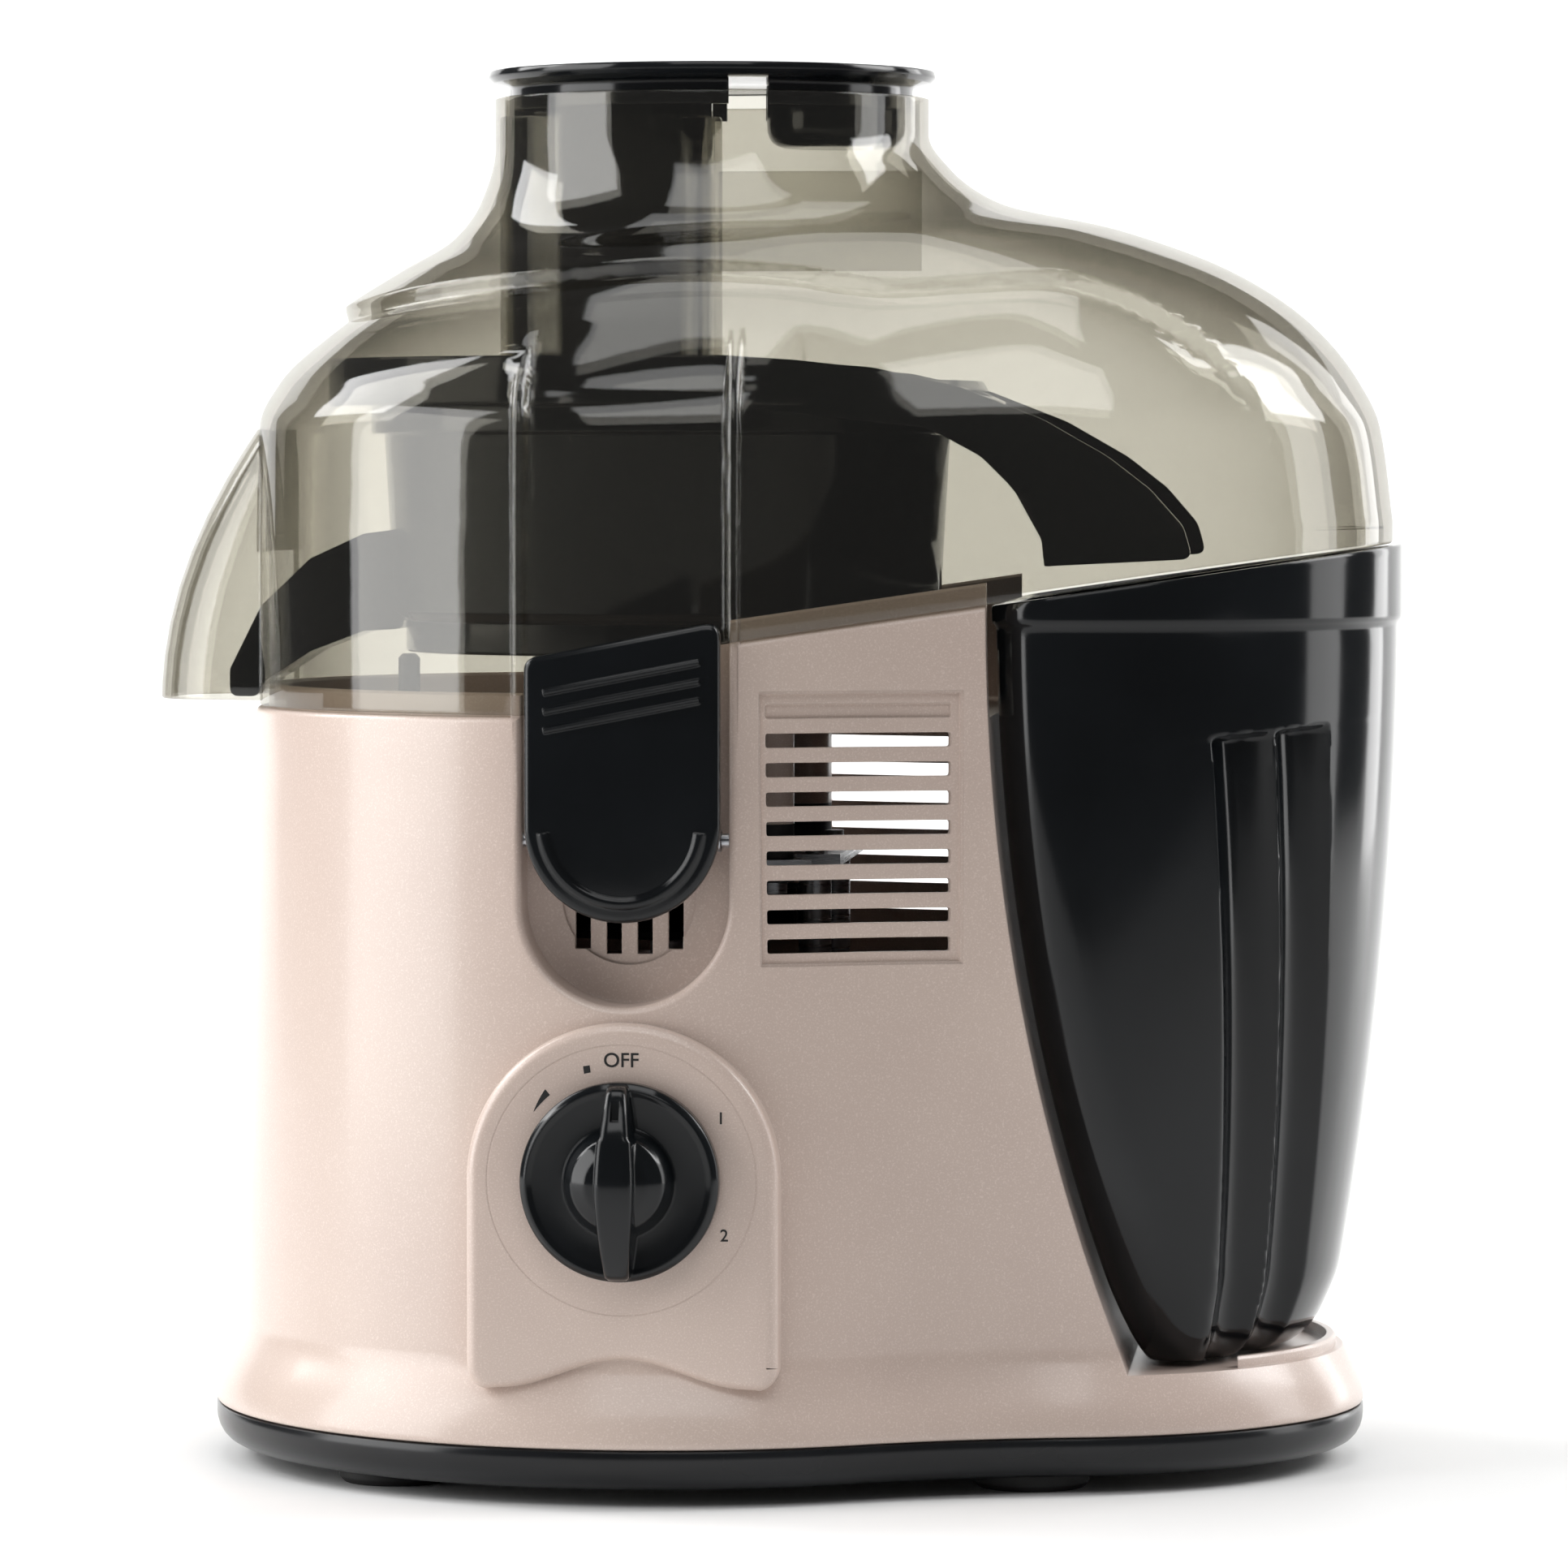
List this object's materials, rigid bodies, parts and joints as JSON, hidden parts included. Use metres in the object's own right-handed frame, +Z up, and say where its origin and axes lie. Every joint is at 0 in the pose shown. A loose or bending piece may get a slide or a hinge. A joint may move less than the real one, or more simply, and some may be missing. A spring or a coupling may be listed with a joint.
{
  "type": "centrifugal juicer",
  "caption": "Upright centrifugal juicer: motor housing with dial, smoky lid with feed tube and pusher, juice spout at one end and a slide-out pulp container at the other.",
  "frame": {"origin": "on the surface it stands on, under the middle of the whole object's box", "axes": "+X towards the pulp container, +Y to the back (the dial faces -Y), +Z up"},
  "size_m": [0.2748, 0.2133, 0.306],
  "materials": {
    "champagne_abs": "satin gloss, fine pearl",
    "black_abs": "high gloss",
    "black_pan": "gloss",
    "smoke_clear": "clear smoky gloss",
    "black_nylon": "matt",
    "rubber": "matt",
    "steel": "brushed",
    "lamination": "matt",
    "copper": "enamelled copper",
    "brass": "plain",
    "carbon": "matt"
  },
  "bodies": {
    "base": {"housing": "champagne_abs", "base_pan": "black_pan", "foot_front_left": "rubber", "foot_front_right": "rubber", "foot_rear_left": "rubber", "foot_rear_right": "rubber", "base_screws": "steel", "cord_gland": "black_nylon", "field_stack": "lamination", "field_coils": "copper", "bracket_upper": "steel", "bracket_lower": "steel", "bearing_upper": "brass", "bearing_lower": "brass", "brush_holders": "brass", "carbon_brushes": "carbon", "motor_bolts": "steel", "motor_mounts": "rubber", "mount_screws": "steel", "shaft_seal": "rubber", "latch_pin_front": "steel", "latch_pin_rear": "steel", "latch_spring_front": "steel", "latch_spring_rear": "steel", "switch_body": "black_nylon", "interlock_spring": "steel", "interlock_switch": "black_nylon"},
    "rotor": {"motor_shaft": "steel", "armature_core": "lamination", "armature_windings": "copper", "commutator": "copper", "cooling_fan": "black_nylon", "drive_coupling": "black_nylon"},
    "collector": {"juice_collector": "black_abs"},
    "basket": {"basket_hub": "black_nylon", "grater_disc": "steel", "mesh_cone": "steel", "basket_rim": "black_nylon"},
    "lid": {"lid": "smoke_clear", "feed_tube": "smoke_clear", "spout_hood": "smoke_clear"},
    "pusher": {"pusher": "black_abs", "plunger": "black_abs"},
    "container": {"pulp_container": "black_abs"},
    "front_latch": {"latch_front": "black_abs"},
    "rear_latch": {"latch_rear": "black_abs"},
    "dial": {"knob": "black_abs", "switch_shaft": "steel"},
    "interlock": {"interlock_pin": "black_nylon"}
  },
  "joints": [
    {"name": "rotor_spin", "type": "hinge", "parent": "base", "child": "rotor", "pos_m": [-0.02505, 0.00635, 0.1], "axis": [0, 0, 1], "continuous": true},
    {"name": "collector_lift", "type": "slide", "parent": "base", "child": "collector", "axis": [0, 0, 1], "range_m": [0, 0.06]},
    {"name": "basket_spin", "type": "hinge", "parent": "collector", "child": "basket", "pos_m": [-0.02505, 0.00635, 0.2], "axis": [0, 0, 1], "continuous": true},
    {"name": "lid_lift", "type": "slide", "parent": "collector", "child": "lid", "axis": [0, 0, 1], "range_m": [0, 0.12]},
    {"name": "pusher_slide", "type": "slide", "parent": "lid", "child": "pusher", "axis": [0, 0, 1], "range_m": [0, 0.085]},
    {"name": "container_slide", "type": "slide", "parent": "base", "child": "container", "axis": [0.9897, 0, 0.1435], "range_m": [0, 0.1]},
    {"name": "front_latch_rock", "type": "hinge", "parent": "base", "child": "front_latch", "pos_m": [-0.02505, -0.07765, 0.14], "axis": [1, 0, 0], "range_deg": [0, 14], "stiffness_Nm_per_rad": 0.5},
    {"name": "rear_latch_rock", "type": "hinge", "parent": "base", "child": "rear_latch", "pos_m": [-0.02505, 0.09035, 0.14], "axis": [-1, 0, 0], "range_deg": [0, 14], "stiffness_Nm_per_rad": 0.5},
    {"name": "dial_turn", "type": "hinge", "parent": "base", "child": "dial", "pos_m": [-0.02505, -0.08965, 0.069], "axis": [0, 1, 0], "range_deg": [-50, 118]},
    {"name": "interlock_press", "type": "slide", "parent": "base", "child": "interlock", "axis": [0, 0, -1], "range_m": [0, 0.003], "stiffness_N_per_m": 150, "springref_m": -0.002, "deforming": ["interlock_spring"]}
  ],
  "couplings": [
    {"joint": "basket_spin", "follows": "rotor_spin", "ratio": 1}
  ]
}
